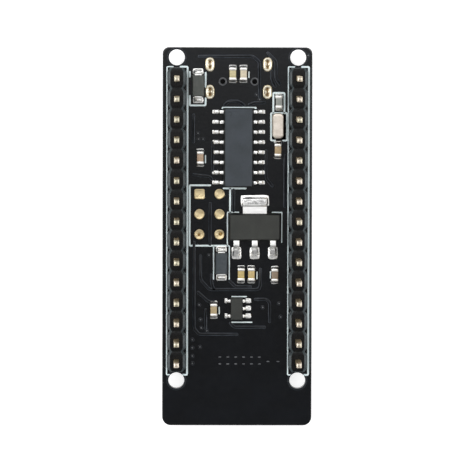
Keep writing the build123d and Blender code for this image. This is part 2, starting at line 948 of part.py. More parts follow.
def make_component_side():
    receptacle = component_side(usb_x, 0)
    contacts = make_usb_contacts()
    save("usb_shell", receptacle * make_usb_shell())
    save("usb_insulator", receptacle * make_usb_insulator(contacts))
    save("usb_contacts", *[receptacle * contact for contact in contacts])
    for name, x, y, turn, size, per_side, pitch in (
        (
            "microcontroller",
            controller_x,
            controller_y,
            controller_turn,
            controller_size,
            controller_terminals_per_side,
            controller_pitch,
        ),
        ("radio_chip", radio_x, radio_y, 0, radio_size, radio_terminals_per_side, radio_pitch),
    ):
        body, terminals = make_flat_package(size, per_side, pitch)
        place = component_side(x, y, turn)
        save(f"{name}_body", place * body)
        save(f"{name}_terminals", *[place * terminal for terminal in terminals])
    base, lid = make_crystal(radio_crystal_width)
    save("radio_crystal_base", component_side(radio_crystal_x, radio_crystal_y) * base)
    save("radio_crystal_lid", component_side(radio_crystal_x, radio_crystal_y) * lid)
    body, bands = make_resonator()
    save("resonator_body", component_side(resonator_x, resonator_y) * body)
    save("resonator_terminals", *[component_side(resonator_x, resonator_y) * band for band in bands])
    button = component_side(button_x, button_y)
    save("button_housing", button * make_button_housing())
    save("button_cover", button * make_button_cover())
    save("button_plunger", button * make_button_plunger())
    save("button_dome", button * make_button_dome())
    save("button_terminals", *[button * terminal for terminal in make_button_terminals()])
    lights = [component_side(x, indicator_y) for x in row_positions(indicator_count, indicator_pitch)]
    base, lens, ends = make_light()
    save("indicator_bases", *[place * base for place in lights])
    save("indicator_lenses", *[place * lens for place in lights])
    save("indicator_terminals", *[place * end for place in lights for end in ends])
    capacitors = [component_side(*place) for place in component_capacitor_places]
    resistors = [component_side(*place) for place in component_resistor_places]
    indicator_row = row_positions(indicator_count, indicator_pitch)
    resistors += [component_side(x, indicator_resistor_y) for x in indicator_row]
    matching = [component_side(*place) for place in matching_places]
    chip = (chip_length, chip_width, chip_height, chip_terminal_length)
    resistor = (chip_length, chip_width, resistor_height, chip_terminal_length)
    small = (small_chip_length, small_chip_width, small_chip_height, small_chip_terminal_length)
    for name, places, sizes in (
        ("component_capacitor", capacitors, chip),
        ("component_resistor", resistors, resistor),
        ("matching_part", matching, small),
    ):
        core, ends = make_chip(*sizes)
        save(f"{name}_bodies", *[place * core for place in places])
        save(f"{name}_terminals", *[place * end for place in places for end in ends])
    save("antenna_trace", Pos(0, 0, -board_thickness - antenna_trace_thickness) * make_antenna())


make_pin_side()
make_component_side()
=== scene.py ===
"""Looks of the wireless microcontroller board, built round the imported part."""
import math

import bpy
from mathutils import Matrix, Vector, noise


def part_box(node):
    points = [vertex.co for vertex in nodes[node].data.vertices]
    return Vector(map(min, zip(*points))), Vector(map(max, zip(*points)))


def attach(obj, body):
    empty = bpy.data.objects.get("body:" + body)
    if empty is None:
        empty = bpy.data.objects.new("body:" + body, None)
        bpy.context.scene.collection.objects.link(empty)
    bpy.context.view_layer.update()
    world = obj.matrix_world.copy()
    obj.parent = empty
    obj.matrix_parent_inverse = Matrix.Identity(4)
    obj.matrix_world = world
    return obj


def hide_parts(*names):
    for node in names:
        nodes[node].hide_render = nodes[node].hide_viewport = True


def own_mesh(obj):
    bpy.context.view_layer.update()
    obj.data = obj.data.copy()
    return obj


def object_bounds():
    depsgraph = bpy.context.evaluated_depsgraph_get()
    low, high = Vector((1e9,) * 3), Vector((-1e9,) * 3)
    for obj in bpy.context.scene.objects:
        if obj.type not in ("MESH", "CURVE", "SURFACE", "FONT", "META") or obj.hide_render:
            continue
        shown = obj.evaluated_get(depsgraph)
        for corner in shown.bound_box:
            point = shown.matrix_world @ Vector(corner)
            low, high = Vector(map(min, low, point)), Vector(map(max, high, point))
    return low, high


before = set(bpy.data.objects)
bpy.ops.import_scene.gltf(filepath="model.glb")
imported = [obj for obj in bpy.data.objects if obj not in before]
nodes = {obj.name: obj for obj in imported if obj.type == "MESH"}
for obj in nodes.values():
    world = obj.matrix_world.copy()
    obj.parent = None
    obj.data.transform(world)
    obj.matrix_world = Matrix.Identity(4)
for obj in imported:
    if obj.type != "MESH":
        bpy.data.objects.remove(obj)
cad_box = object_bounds()

# Lengths below are in millimetres unless their name says otherwise
MM = 0.001

# What the photograph shows: its frame in millimetres at the board, and where the camera stands
FRAME_WIDTH = 59.6
CAMERA_PLACE = (-8.0, 29.0, 600.0)
CAMERA_TARGET = (-0.02, -2.24, 0.0)
CAMERA_ROLL = 0.14
SENSOR = 36.0


# Reading the frame

def node_box(node):
    """The lowest and highest corner of a node, in millimetres."""
    return [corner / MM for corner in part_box(node)]


board_low, board_high = node_box("circuit_board")
PIN_FACE = board_high.z
COMPONENT_FACE = board_low.z
FLOOR = cad_box[0].z / MM

# How far from the board's face a corner may lie and still count as standing on it
FOOT_TOLERANCE = 0.03


def solid_points(node):
    """The corners of each separate solid of a node, in millimetres."""
    mesh = nodes[node].data
    keys = [tuple(round(c / MM, 3) for c in vertex.co) for vertex in mesh.vertices]
    groups = {key: [key] for key in keys}
    for polygon in mesh.polygons:
        first, *others = [keys[index] for index in polygon.vertices]
        for other in others:
            group, added = groups[first], groups[other]
            if added is not group:
                group += added
                groups.update((key, group) for key in added)
    return list({id(group): group for group in groups.values()}.values())


def box_round(points):
    """The lowest and highest corner of the points."""
    low = Vector([min(p[axis] for p in points) for axis in range(3)])
    high = Vector([max(p[axis] for p in points) for axis in range(3)])
    return low, high


def middle(box):
    return (box[0] + box[1]) / 2


def sorted_boxes(boxes):
    """The boxes from low Y to high Y and, in a row, from low X to high X."""
    return sorted(boxes, key=lambda box: (round(box[0].y, 2), box[0].x))


def solid_boxes(node):
    return sorted_boxes([box_round(points) for points in solid_points(node)])


def seats(node):
    """The number, the middle and half the size of each solid of a node."""
    boxes = solid_boxes(node)
    return [(seed, middle((low, high)), (high - low) / 2) for seed, (low, high) in enumerate(boxes)]


def feet(node):
    """For each solid of a node, the box of what stands on the pin side and the middle of the whole solid."""
    found = []
    for points in solid_points(node):
        low, high = box_round([p for p in points if abs(p[2] - PIN_FACE) < FOOT_TOLERANCE])
        found.append((low, high, middle(box_round(points))))
    return sorted_boxes(found)


# Making meshes

# How far an added part reaches down into the board
SUNK = 0.01
# Steps in each rounded corner and each round end of a line
CURVE_STEPS = 4
# The least share of a line's width that a sharp turn may leave before its corner is cut
LEAST_MITRE = 0.6


def show(name, data):
    """A new object in the scene for a mesh, a lamp or a camera."""
    made = bpy.data.objects.new(name, data)
    bpy.context.scene.collection.objects.link(made)
    return made


def new_mesh(name, points, faces, material, smooth=False):
    mesh = bpy.data.meshes.new(name)
    mesh.from_pydata([Vector(point) * MM for point in points], [], faces)
    mesh.polygons.foreach_set("use_smooth", [smooth] * len(mesh.polygons))
    mesh.materials.append(material)
    mesh.update()
    return show(name, mesh)


def build_piece(name, parts, material, body="board", smooth=True):
    """One object out of several parts, each a list of points and a list of faces."""
    points = []
    faces = []
    for part_points, part_faces in parts:
        faces += [[index + len(points) for index in face] for face in part_faces]
        points += part_points
    piece = new_mesh(name, points, faces, material, smooth)
    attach(piece, body)
    return piece


def on_face(points, faces, face):
    """A part drawn at Z = 0, brought to the pin side or, for face -1, to the component side."""
    level = PIN_FACE if face > 0 else COMPONENT_FACE
    return [(x, y, level + face * z) for x, y, z in points], [f[::face] for f in faces]


def placed(part, x=0.0, y=0.0, face=1):
    """A part moved to its place on one of the two faces."""
    shift = Vector((x, y, 0))
    return on_face([Vector(point) + shift for point in part[0]], part[1], face)


def rounded_path(points, radius):
    """The points of a line whose inner corners are turned in a curve."""
    points = [Vector(point) for point in points]
    path = points[:1]
    for before, corner, after in zip(points, points[1:], points[2:]):
        back = min(radius, (before - corner).length / 2)
        ahead = min(radius, (after - corner).length / 2)
        start = corner + (before - corner).normalized() * back
        end = corner + (after - corner).normalized() * ahead
        for step in range(CURVE_STEPS + 1):
            t = step / CURVE_STEPS
            path.append((1 - t) ** 2 * start + 2 * t * (1 - t) * corner + t * t * end)
    return path + points[-1:]


def outline_round(path, half):
    """The closed outline of a line of the given half width, with round ends."""
    left = []
    right = []
    for before, point, after in zip(path[:1] + path, path, path[1:] + path[-1:]):
        along = (after - before).normalized()
        normal = Vector((-along.y, along.x))
        stretch = half
        if before is not point is not after:
            turn = (point - before).normalized().dot((after - point).normalized())
            stretch = half / max(LEAST_MITRE, math.sqrt((1 + turn) / 2))
        left.append(point + normal * stretch)
        right.append(point - normal * stretch)

    def cap(point, inner):
        along = (point - inner).normalized()
        start = math.atan2(along.y, along.x) + math.pi / 2
        angles = [start - math.pi * step / CURVE_STEPS for step in range(1, CURVE_STEPS)]
        return [point + Vector((math.cos(a), math.sin(a))) * half for a in angles]

    return left + cap(path[-1], path[-2]) + right[::-1] + cap(path[0], path[1])


def band(first, second, count):
    """The faces between two rings of count points each."""
    ahead = [(i, (i + 1) % count) for i in range(count)]
    return [(first + i, second + i, second + j, first + j) for i, j in ahead]


def last_lid(vertices, count):
    """The face that closes the last ring of count points."""
    return tuple(range(len(vertices) - 1, len(vertices) - count - 1, -1))


def ribbon(points, width, height, slope=0.0, corner=0.3):
    """A flat line of the given width that stands up from a face, with sloping or upright sides."""
    path = rounded_path(points, corner)
    low = outline_round(path, width / 2)
    high = outline_round(path, width / 2 - slope)
    count = len(low)
    vertices = [(p.x, p.y, -SUNK) for p in low] + [(p.x, p.y, height) for p in high]
    return vertices, band(0, count, count) + [tuple(range(count)), last_lid(vertices, count)]


def lumpy(point, size, seed):
    """A smooth random value from -1 to 1."""
    return noise.noise(Vector((point[0] / size, point[1] / size, seed * 7.3)))


def squarish(c, s, power):
    """How far out a rounded square's edge lies in the direction of a cosine and a sine."""
    return (abs(c) ** power + abs(s) ** power) ** (-1 / power)


def directions(count, turned=0.0):
    """The cosine and sine of evenly spaced directions."""
    angles = [2 * math.pi * (step + turned) / count for step in range(count)]
    return [(math.cos(angle), math.sin(angle)) for angle in angles]


def dome(top, point, rings, spokes):
    """A cap in rings round its middle, whose rim goes straight down into the board.

    point(share, cosine, sine) is the place in a direction, at that share of the way to the rim.
    """
    vertices = [(0, 0, top)]
    for ring in range(1, rings + 1):
        vertices += [point(ring / rings, c, s) for c, s in directions(spokes)]
    faces = [(0, 1 + i, 1 + (i + 1) % spokes) for i in range(spokes)]
    for ring in range(rings - 1):
        faces += band(1 + ring * spokes, 1 + (ring + 1) * spokes, spokes)
    last, base = len(vertices) - spokes, len(vertices)
    vertices += [(x, y, -SUNK) for x, y, z in vertices[last:]]
    return vertices, faces + band(last, base, spokes)


MOUND_EDGE = 0.03
MOUND_RINGS, MOUND_SPOKES = 5, 20


def mound(half_x, half_y, height, lump=0.08, seed=0):
    """A low dome over an oval patch."""
    def point(share, c, s):
        level = MOUND_EDGE + (height - MOUND_EDGE) * (1 - share**2)
        x, y = half_x * share * c, half_y * share * s
        wave = 1 + lump * 2 * lumpy((x, y), 0.35, seed + 0.5) * (1 - 0.4 * share)
        grow = 1 + lump * lumpy((c, s), 0.9, seed)
        return x * grow, y * grow, level * wave

    vertices, faces = dome(height, point, MOUND_RINGS, MOUND_SPOKES)
    return vertices, faces + [last_lid(vertices, MOUND_SPOKES)]


PITTED_SPOKES = 40


def pitted(half_x, half_y, level, square, seed=0, rings=14):
    """A solder filling whose height over the face is level(x, y, share), share being 1 at its rim."""
    def point(share, c, s):
        reach = squarish(c, s, square) * share
        grow = 1 + 0.03 * share * lumpy((c, s), 0.6, seed)
        x, y = half_x * reach * c * grow, half_y * reach * s * grow
        return x, y, level(x, y, share)

    return dome(level(0, 0, 0), point, rings, PITTED_SPOKES)


FILLET_RINGS, FILLET_SPOKES = 6, 28
# Thickness of a fillet's rim, and how uneven the fillet is
FILLET_EDGE = 0.03
FILLET_LUMP = 0.06
# Share of a fillet's width at which its slope ends and the thin tinned rim of its pad begins
FILLET_END = 0.74
# How far a fillet starts inside its foot, and how square it is there
FILLET_INSET = 0.02
FOOT_SQUARE = 14


def skirt(low, high, reach, height, seed=0, face=1, square=7, fall=1.8):
    """A hollow-sided fillet of solder round a foot; reach is how far it runs left, right, down and up."""
    centre = (low + high) / 2
    half_x, half_y = (high.x - low.x) / 2 - FILLET_INSET, (high.y - low.y) / 2 - FILLET_INSET
    vertices = []
    faces = [tuple(range(FILLET_SPOKES))]
    for ring in range(FILLET_RINGS + 1):
        share = ring / FILLET_RINGS
        corner = FOOT_SQUARE - (FOOT_SQUARE - square) * share
        level = FILLET_EDGE + (height - FILLET_EDGE) * max(0.0, 1 - share / FILLET_END) ** fall
        for c, s in directions(FILLET_SPOKES, 0.5):
            full = squarish(c, s, corner)
            c, s = c * full, s * full
            x = (half_x + share * reach[1 if c > 0 else 0]) * c
            y = (half_y + share * reach[3 if s > 0 else 2]) * s
            wave = 1 + 2 * FILLET_LUMP * lumpy((x, y), 0.25, seed)
            grow = 1 + FILLET_LUMP * share * lumpy((c, s), 0.7, seed + 3)
            vertices.append((centre.x + x * grow, centre.y + y * grow, level * wave))
        faces += band(ring * FILLET_SPOKES, (ring + 1) * FILLET_SPOKES, FILLET_SPOKES)
    vertices += [(x, y, -SUNK) for x, y, z in vertices[-FILLET_SPOKES:]]
    return on_face(vertices, faces + [last_lid(vertices, FILLET_SPOKES)], face)


def lathe(profile, spokes=24, wobble=0.0, seed=0, ring_shaped=False):
    """A solid of revolution about Z from points of radius and height.

    They start and end on the axis, or the last one joins the first where the solid is ring-shaped.
    """
    vertices = []
    rings = []
    for radius, height in profile:
        ring = []
        for c, s in directions(spokes) if radius else [(0, 0)]:
            reach = radius * (1 + wobble * lumpy((c, s + height), 0.8, seed))
            ring.append(len(vertices))
            vertices.append((reach * c, reach * s, height))
        rings.append(ring)
    faces = []
    for low, high in zip(rings, rings[1:] + rings[:ring_shaped]):
        for i in range(spokes):
            corners = ((low, i), (low, i + 1), (high, i + 1), (high, i))
            face = list(dict.fromkeys(ring[at % len(ring)] for ring, at in corners))
            if len(face) > 2:
                faces.append(face)
    return vertices, faces


def collar(inner, outer, height):
    """A low rounded ring with an open middle."""
    width = outer - inner
    profile = [(outer, -SUNK), (outer - 0.25 * width, 0.8 * height), ((inner + outer) / 2, height)]
    profile += [(inner + 0.3 * width, height), (inner, 0.3 * height), (inner, -SUNK)]
    return lathe(profile, spokes=32, ring_shaped=True)


# Materials

# The range that most values of a noise lie in
NOISE_RANGE = (0.3, 0.7)


def linear(red, green, blue):
    """A colour as the screen shows it, from 0 to 255, turned into the shader's own scale."""
    def channel(value):
        value /= 255
        return value / 12.92 if value <= 0.04045 else ((value + 0.055) / 1.055) ** 2.4
    return (channel(red), channel(green), channel(blue), 1.0)


def shaded(tone, factor):
    """A screen colour made darker or paler by a factor."""
    return [min(255, value * factor) for value in tone]


class Nodes:
    """A tree of shader nodes, and short ways to add to it."""

    def __init__(self, tree):
        self.tree = tree

    def node(self, kind, **values):
        made = self.tree.nodes.new("ShaderNode" + kind)
        for key, value in values.items():
            if key in made.inputs:
                made.inputs[key].default_value = value
            else:
                setattr(made, key, value)
        return made

    def link(self, output, target):
        self.tree.links.new(output, target)

    def feed(self, socket, value):
        """Gives a socket what another puts out, or a constant."""
        if isinstance(value, bpy.types.NodeSocket):
            self.link(value, socket)
        else:
            socket.default_value = value

    def combined(self, kind, values, **settings):
        """The outputs of a node whose inputs take the values in their order."""
        made = self.node(kind, **settings)
        for socket, value in zip(made.inputs, values):
            self.feed(socket, value)
        return made.outputs

    def math(self, operation, *values):
        return self.combined("Math", values, operation=operation)["Value"]

    def vector(self, operation, *values):
        outputs = self.combined("VectorMath", values, operation=operation)
        return outputs["Value" if operation == "LENGTH" else "Vector"]

    def split(self, value):
        """The outputs X, Y and Z of a vector."""
        return self.combined("SeparateXYZ", [value])

    def ramp(self, value, low, high, to_low=0.0, to_high=1.0):
        """The value spread from one range to another."""
        return self.combined("MapRange", (value, low, high, to_low, to_high))["Result"]

    def mix(self, share, first, second):
        """A colour between two, each a colour or another mix."""
        blend = self.node("Mix", data_type="RGBA")
        self.link(share, blend.inputs["Factor"])
        for key, colour in (("A", first), ("B", second)):
            self.feed([s for s in blend.inputs if s.name == key and s.type == "RGBA"][0], colour)
        return [s for s in blend.outputs if s.type == "RGBA"][0]


class Surface(Nodes):
    """A material with one shader, whose colour, roughness and bump come from fine noise."""

    def __init__(self, name, metallic=0.0, specular=0.5):
        self.material = bpy.data.materials.new(name)
        self.material.use_nodes = True
        super().__init__(self.material.node_tree)
        self.shader = self.tree.nodes["Principled BSDF"]
        self.shader.inputs["Metallic"].default_value = metallic
        self.shader.inputs["Specular IOR Level"].default_value = specular
        self.place = self.node("TexCoord").outputs["Object"]

    def noise(self, size, detail=3.0, stretch=None):
        """Noise with features of about the given size in millimetres, longer by the stretch on each axis."""
        texture = self.node("TexNoise", Scale=1 / (size * MM), Detail=detail, Roughness=0.55)
        place = self.vector("MULTIPLY", self.place, [1 / s for s in stretch]) if stretch else self.place
        self.link(place, texture.inputs["Vector"])
        return texture.outputs["Fac"]

    def cloud(self, size, low=0.0, high=1.0, **details):
        """Noise that covers the whole range from low to high."""
        return self.ramp(self.noise(size, **details), *NOISE_RANGE, low, high)

    def tones(self, share, dark, light):
        """A colour between two screen colours."""
        return self.mix(share, linear(*dark), linear(*light))

    def facing_up(self, low, high):
        """From 0 to 1 as the surface turns from one slope to another; 0 is sideways and 1 up or down."""
        normal = self.split(self.node("NewGeometry").outputs["Normal"])
        return self.ramp(self.math("ABSOLUTE", normal["Z"]), low, high)

    def height(self, low, high):
        """From 0 to 1 between two heights in millimetres."""
        return self.ramp(self.split(self.place)["Z"], low * MM, high * MM)

    def near_outline(self, low, high, corner, width):
        """1 within the given width of the outline of a box with rounded corners, all in millimetres."""
        centre = (low + high) / 2 * MM
        reach = ((high - low) / 2 - Vector((corner, corner, 0))) * MM
        here = self.vector("SUBTRACT", self.place, (centre.x, centre.y, 0))
        here = self.vector("MULTIPLY", self.vector("ABSOLUTE", here), (1, 1, 0))
        here = self.vector("SUBTRACT", here, (reach.x, reach.y, 0))
        length = self.vector("LENGTH", self.vector("MAXIMUM", here, (0, 0, 0)))
        return self.math("GREATER_THAN", length, (corner - width) * MM)

    def finish(self, colour, rough, grit=None, bump=0.0):
        """The material with its colour, its roughness and a bump of the given height in millimetres."""
        self.link(colour, self.shader.inputs["Base Color"])
        self.link(rough, self.shader.inputs["Roughness"])
        if grit:
            made = self.node("Bump", Strength=1.0, Distance=bump * MM)
            self.link(grit, made.inputs["Height"])
            self.link(made.outputs["Normal"], self.shader.inputs["Normal"])
        return self.material


def make_plain(name, dark, light, grain, rough, metallic=0.0, specular=0.5, bump=0.0, bump_size=0.1):
    """A surface that varies between two colours and, by the rough pair, in gloss."""
    surface = Surface(name, metallic=metallic, specular=specular)
    colour = surface.mix(surface.cloud(grain), dark, light)
    grit = surface.noise(bump_size, detail=2.0) if bump else None
    return surface.finish(colour, surface.cloud(grain * 0.6, *rough, detail=2.0), grit, bump)


def make_plastic(name, dark, light, rough=(0.38, 0.52), specular=0.35):
    return make_plain(name, linear(*dark), linear(*light), 0.6, rough, 0.0, specular, 0.006, 0.09)


def make_ceramic(name, dark, light):
    return make_plain(name, linear(*dark), linear(*light), 0.22, (0.35, 0.5), 0.0, 0.45, 0.006, 0.07)


def make_metal(name, dark, light, rough=(0.2, 0.34), bump=0.01, bump_size=0.25, grain=0.5):
    return make_plain(name, (*dark, 1), (*light, 1), grain, rough, 1.0, 0.5, bump, bump_size)


# The board's rounded corners, the painted highlight round the rim of its mask, and the painted highlight
# along its right edge
BOARD_CORNER = 1.0
RIM_HIGHLIGHT_WIDTH = 0.09
EDGE_HIGHLIGHT_WIDTH = 0.28
EDGE_HIGHLIGHT_REACH = 19.0
MASK_GLOSS = (0.17, 0.24)


def make_mask():
    """Black solder mask on the faces with painted highlights round its outline and along its right edge, and
    cut laminate on the board's edges.
    """
    surface = Surface("solder_mask", specular=0.2)
    face = surface.tones(surface.cloud(3.0, detail=4.0), (6, 8, 12), (11, 14, 19))
    # painted highlight: a pale grey band round the mask's outline
    rim = surface.near_outline(board_low, board_high, BOARD_CORNER, RIM_HIGHLIGHT_WIDTH)
    face = surface.mix(rim, face, linear(66, 67, 68))
    place = surface.split(surface.place)
    # painted highlight: a pale band along the right edge, between the corner holes
    outside = surface.math("GREATER_THAN", place["X"], (board_high.x - EDGE_HIGHLIGHT_WIDTH) * MM)
    between_holes = surface.math("LESS_THAN", surface.math("ABSOLUTE", place["Y"]), EDGE_HIGHLIGHT_REACH * MM)
    face = surface.mix(surface.math("MULTIPLY", outside, between_holes), face, linear(58, 62, 65))
    layers = surface.ramp(surface.noise(0.12, detail=2.0, stretch=(12, 12, 1)), 0.35, 0.65)
    edge = surface.tones(layers, (60, 56, 46), (104, 98, 82))
    colour = surface.mix(surface.facing_up(0.4, 0.6), edge, face)
    return surface.finish(colour, surface.cloud(0.8, *MASK_GLOSS), surface.noise(0.45, detail=2.0), 0.005)


def make_trace_mask():
    """Mask over copper: hardly paler than the rest, with a painted highlight on the sloping edges over the
    copper.
    """
    surface = Surface("masked_copper", specular=0.2)
    cloud = surface.cloud(1.0)
    flat = surface.tones(cloud, (7, 9, 13), (13, 16, 21))
    # painted highlight: the sloping edges over the copper take a pale grey tone
    edge = surface.tones(cloud, (56, 61, 68), (80, 85, 92))
    colour = surface.mix(surface.facing_up(0.9, 0.98), edge, flat)
    return surface.finish(colour, surface.cloud(0.8, *MASK_GLOSS))


def make_header_plastic():
    """Black nylon with a painted highlight that makes its sloping edges paler than its flat faces."""
    surface = Surface("header_plastic", specular=0.18)
    cloud = surface.cloud(0.6)
    flat = surface.tones(cloud, (5, 5, 6), (11, 11, 12))
    # painted highlight: a pale teal grey on the sloping edges, while flat and upright faces keep the dark
    # tone
    slope = surface.tones(cloud, (47, 55, 58), (64, 72, 75))
    tone = surface.mix(surface.facing_up(0.9, 0.97), slope, flat)
    colour = surface.mix(surface.facing_up(0.3, 0.6), flat, tone)
    rough = surface.cloud(0.36, 0.24, 0.32, detail=2.0)
    return surface.finish(colour, rough, surface.noise(0.09, detail=2.0), 0.003)


def make_package(name, dark, light, fleck):
    """Moulding compound: a fine sandy face, slightly uneven in tone, with painted shade that makes its sides
    darker.
    """
    surface = Surface(name, specular=0.3)
    cloud = surface.noise(2.2)
    speck = surface.noise(0.07, detail=1.0)
    tone = surface.tones(surface.ramp(cloud, *NOISE_RANGE), dark, light)
    tone = surface.mix(surface.ramp(speck, 0.45, 0.75, 0.0, 0.35), tone, linear(*fleck))
    # painted shade: the sides take a darker copy of the face's tone
    side = surface.tones(cloud, shaded(dark, 0.45), shaded(dark, 0.6))
    colour = surface.mix(surface.facing_up(0.5, 0.8), side, tone)
    return surface.finish(colour, surface.ramp(speck, *NOISE_RANGE, 0.5, 0.62), speck, 0.008)


# How far below a pin's cut end its painted highlight, a paler tint at the tip, begins and ends
HIGHLIGHT_START, HIGHLIGHT_END = 0.6, 0.12


def make_pin_gold():
    """Drawn gold-plated wire: each pin a tint of its own, with painted shade on the shaft and a painted
    highlight at the tip.
    """
    surface = Surface("gold_pin", metallic=1.0)
    tint = surface.ramp(surface.noise(2.2, detail=0.0), 0.35, 0.65)
    # painted shade: a deeper gold on the shaft; painted highlight: a paler gold at the tip
    shaft = surface.mix(tint, (0.46, 0.37, 0.21, 1), (0.56, 0.44, 0.29, 1))
    tip = surface.mix(tint, (0.48, 0.45, 0.34, 1), (0.6, 0.53, 0.44, 1))
    top = cad_box[1].z / MM
    height = surface.height(top - HIGHLIGHT_START, top - HIGHLIGHT_END)
    drawn = surface.noise(0.07, detail=2.0, stretch=(1, 1, 30))
    rough = surface.ramp(drawn, *NOISE_RANGE, 0.34, 0.46)
    return surface.finish(surface.mix(height, shaft, tip), rough, drawn, 0.0015)


# The heights over the face where the solder in the slots is darkest and palest; the darkening is flux residue
# and painted shade
DIMPLE_DEPTH, RIM_HEIGHT = -0.08, 0.06


def make_slot_solder():
    """Solder, pale on its rim and golden brown down in its dimples, where flux residue and painted shade
    darken it.
    """
    surface = Surface("slot_solder", metallic=0.85)
    height = surface.height(PIN_FACE + DIMPLE_DEPTH, PIN_FACE + RIM_HEIGHT)
    # flux residue and painted shade: golden brown lower down, in the dimples
    colour = surface.mix(height, (0.3, 0.2, 0.09, 1), (0.87, 0.82, 0.68, 1))
    return surface.finish(colour, surface.cloud(0.3, 0.22, 0.36), surface.noise(0.2, detail=1.0), 0.01)


# What each finish is made of: screen colours from 0 to 255, and for metals the share of light they mirror
TIN = (0.86, 0.86, 0.85)
PALE_TIN = (0.95, 0.95, 0.93)

mask = make_mask()
masked_copper = make_trace_mask()
nylon = make_header_plastic()
pin_gold = make_pin_gold()
slot_solder = make_slot_solder()
printed_line = make_plain(
    "printed_line", linear(228, 246, 249), linear(243, 254, 255), 0.4, (0.5, 0.7), bump=0.006, bump_size=0.12
)
blue_package = make_package("package_epoxy_blue", (53, 59, 64), (64, 70, 77), (79, 83, 89))
grey_package = make_package("package_epoxy_grey", (46, 48, 46), (56, 58, 55), (74, 75, 73))

tin = make_metal("tinned_lead", TIN, PALE_TIN, (0.26, 0.36), bump=0.004)
smooth_tin = make_metal("smooth_tin", TIN, (0.93, 0.93, 0.92), (0.36, 0.42), bump=0.001)
solder = make_metal("solder", TIN, PALE_TIN, (0.24, 0.34), bump=0.009, bump_size=0.3)
dull_solder = make_metal(
    "dull_solder", (0.5, 0.5, 0.5), (0.82, 0.82, 0.81), bump=0.012, bump_size=0.3, grain=0.6
)
pad_gold = make_metal("gold_pad", (0.6, 0.48, 0.27), (0.72, 0.6, 0.38), (0.25, 0.42))
cap_end = make_metal("chip_terminal", (0.8, 0.79, 0.75), (0.95, 0.94, 0.9), (0.28, 0.42), bump=0.012)
steel = make_metal("connector_shell", (0.66, 0.67, 0.68), (0.73, 0.73, 0.74), (0.3, 0.34), bump=0, grain=2.5)
lid_metal = make_metal("crystal_lid", (0.62, 0.56, 0.49), (0.76, 0.69, 0.62), (0.36, 0.48), bump=0.006)
silver_lid = make_metal("radio_crystal_lid", (0.66, 0.64, 0.6), (0.76, 0.74, 0.7), (0.34, 0.44), bump=0.002)

bare_ring = make_plastic("bare_ring", (66, 68, 71), (108, 110, 114), (0.3, 0.4))
insulator = make_plastic("connector_plastic", (10, 10, 11), (18, 18, 19), specular=0.08)
button_white = make_plastic("button_cap", (206, 204, 196), (226, 224, 217), (0.4, 0.5))
diode_grey = make_plastic("diode_epoxy", (76, 80, 77), (90, 93, 90), (0.5, 0.62))
blue_diode = make_plastic("diode_epoxy_blue", (58, 65, 70), (70, 76, 81), (0.5, 0.62))
lens = make_plastic("light_lens", (206, 208, 196), (232, 234, 224), (0.12, 0.2), specular=0.6)

resistor_grey = make_ceramic("resistor_ceramic", (142, 146, 142), (168, 171, 166))
crystal_ceramic = make_ceramic("crystal_base", (150, 143, 130), (178, 170, 158))
white_base = make_ceramic("light_base", (222, 222, 214), (236, 236, 230))

# Each capacitor's ceramic is a brown or tan of its own
CAPACITOR_TONES = {
    "usb_capacitor_left": (195, 184, 143),
    "usb_capacitor_right": (209, 198, 173),
    "crystal_capacitor": (184, 161, 125),
    "reset_capacitor": (186, 159, 134),
    "input_capacitor_left": (192, 171, 113),
    "input_capacitor_right": (195, 173, 120),
    "output_capacitor": (143, 126, 107),
    "radio_supply_capacitor": (180, 161, 124),
    "component_capacitor_bodies": (168, 148, 112),
    "matching_part_bodies": (182, 162, 124),
    "resonator_body": (150, 128, 96),
}


# The carried-over nodes: finish, and how wide their edges are rounded in millimetres

BEVEL_SEGMENTS = 2
WELD_DISTANCE = 0.0005


def smooth_group():
    """A node group that drops the imported normals, so that the rounded edges shade as they are."""
    group = bpy.data.node_groups.new("own_normals", "GeometryNodeTree")
    group.interface.new_socket("Geometry", in_out="INPUT", socket_type="NodeSocketGeometry")
    group.interface.new_socket("Geometry", in_out="OUTPUT", socket_type="NodeSocketGeometry")
    start = group.nodes.new("NodeGroupInput")
    remove = group.nodes.new("GeometryNodeRemoveAttribute")
    remove.inputs["Name"].default_value = "custom_normal"
    end = group.nodes.new("NodeGroupOutput")
    group.links.new(start.outputs[0], remove.inputs["Geometry"])
    group.links.new(remove.outputs["Geometry"], end.inputs[0])
    return group


own_normals = smooth_group()


def soften(piece, rounding, least_angle=30.0):
    """Rounds the edges that turn by more than the least angle."""
    bevel = piece.modifiers.new("bevel", "BEVEL")
    bevel.width = rounding * MM
    bevel.segments = BEVEL_SEGMENTS
    bevel.limit_method = "ANGLE"
    bevel.angle_limit = math.radians(least_angle)
    bevel.harden_normals = False
    piece.modifiers.new("normals", "WEIGHTED_NORMAL").keep_sharp = False


def dress(node, material, rounding=0.0):
    """Gives a carried-over node its finish and soft edges."""
    piece = nodes[node]
    for slot in piece.material_slots:
        slot.material = material
    if rounding:
        piece.modifiers.new("own_normals", "NODES").node_group = own_normals
        weld = piece.modifiers.new("weld", "WELD")
        weld.merge_threshold = WELD_DISTANCE * MM
        soften(piece, rounding)


